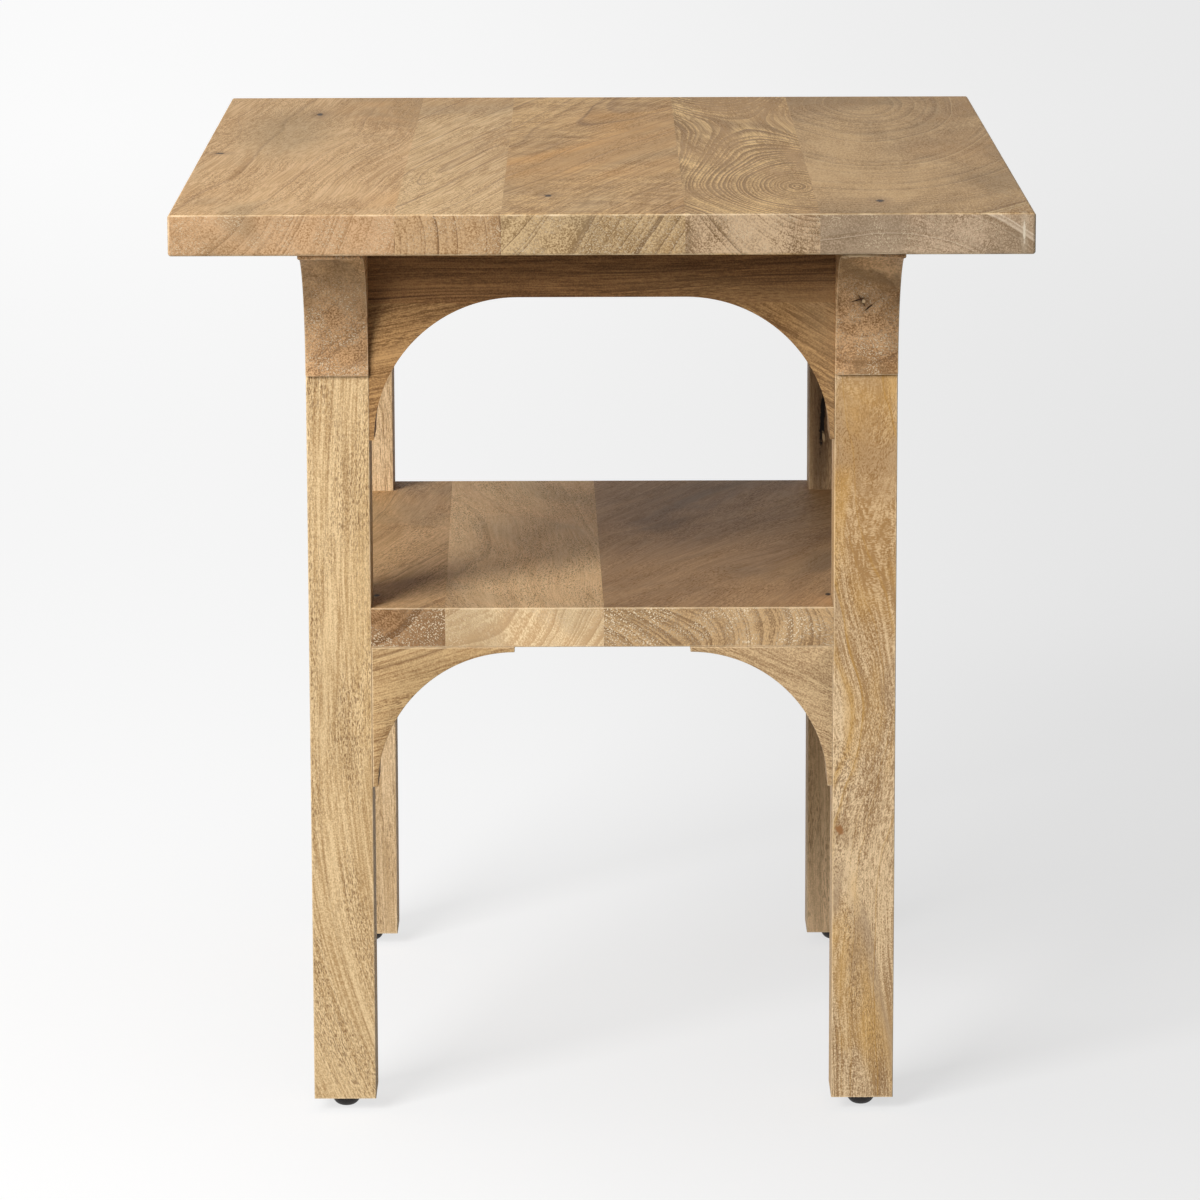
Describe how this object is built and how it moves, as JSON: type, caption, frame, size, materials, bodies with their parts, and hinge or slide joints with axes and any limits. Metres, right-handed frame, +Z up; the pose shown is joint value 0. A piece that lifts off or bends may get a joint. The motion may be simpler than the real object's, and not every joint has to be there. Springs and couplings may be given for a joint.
{
  "type": "accent table",
  "caption": "Deep hardwood side table with an overhanging board top, square legs, arched aprons, quarter-round corbels and a notched lower shelf on curved brackets.",
  "frame": {"origin": "on the floor under the middle of the top", "axes": "+Z up, +X to the right seen from the front, the front faces -Y"},
  "size_m": [0.56, 0.7, 0.6285],
  "materials": {
    "top_wood": "clear matt over sanded hardwood",
    "shelf_wood": "clear matt over sanded hardwood",
    "leg_wood": "clear matt over sanded hardwood",
    "apron_wood": "clear matt over sanded hardwood",
    "bracket_wood": "clear matt over sanded hardwood",
    "corbel_wood": "clear matt over sanded end grain",
    "block_wood": "plain sawn",
    "dowel_wood": "plain turned",
    "glide_plastic": "matt moulded",
    "nail_steel": "bright wire",
    "screw_steel": "yellow zinc"
  },
  "bodies": {
    "root": {"apron_bracket_back_left": "apron_wood", "apron_bracket_back_right": "apron_wood", "apron_bracket_dowels": "dowel_wood", "apron_bracket_front_left": "apron_wood", "apron_bracket_front_right": "apron_wood", "apron_bracket_left_back": "apron_wood", "apron_bracket_left_front": "apron_wood", "apron_bracket_right_back": "apron_wood", "apron_bracket_right_front": "apron_wood", "apron_rail_back": "apron_wood", "apron_rail_front": "apron_wood", "apron_rail_left": "apron_wood", "apron_rail_right": "apron_wood", "corbel_back_left": "corbel_wood", "corbel_back_right": "corbel_wood", "corbel_dowels": "dowel_wood", "corbel_front_left": "corbel_wood", "corbel_front_right": "corbel_wood", "corner_block_back_left": "block_wood", "corner_block_back_right": "block_wood", "corner_block_front_left": "block_wood", "corner_block_front_right": "block_wood", "glide_back_left": "glide_plastic", "glide_back_right": "glide_plastic", "glide_front_left": "glide_plastic", "glide_front_right": "glide_plastic", "glide_nails": "nail_steel", "leg_back_left": "leg_wood", "leg_back_right": "leg_wood", "leg_front_left": "leg_wood", "leg_front_right": "leg_wood", "rail_screws": "screw_steel", "shelf_board_1": "shelf_wood", "shelf_board_2": "shelf_wood", "shelf_board_3": "shelf_wood", "shelf_bracket_back_left": "bracket_wood", "shelf_bracket_back_right": "bracket_wood", "shelf_bracket_dowels": "dowel_wood", "shelf_bracket_front_left": "bracket_wood", "shelf_bracket_front_right": "bracket_wood", "shelf_bracket_left_back": "bracket_wood", "shelf_bracket_left_front": "bracket_wood", "shelf_bracket_right_back": "bracket_wood", "shelf_bracket_right_front": "bracket_wood", "top_board_1": "top_wood", "top_board_2": "top_wood", "top_board_3": "top_wood", "top_board_4": "top_wood", "top_board_5": "top_wood", "top_screws": "screw_steel"}
  },
  "joints": []
}
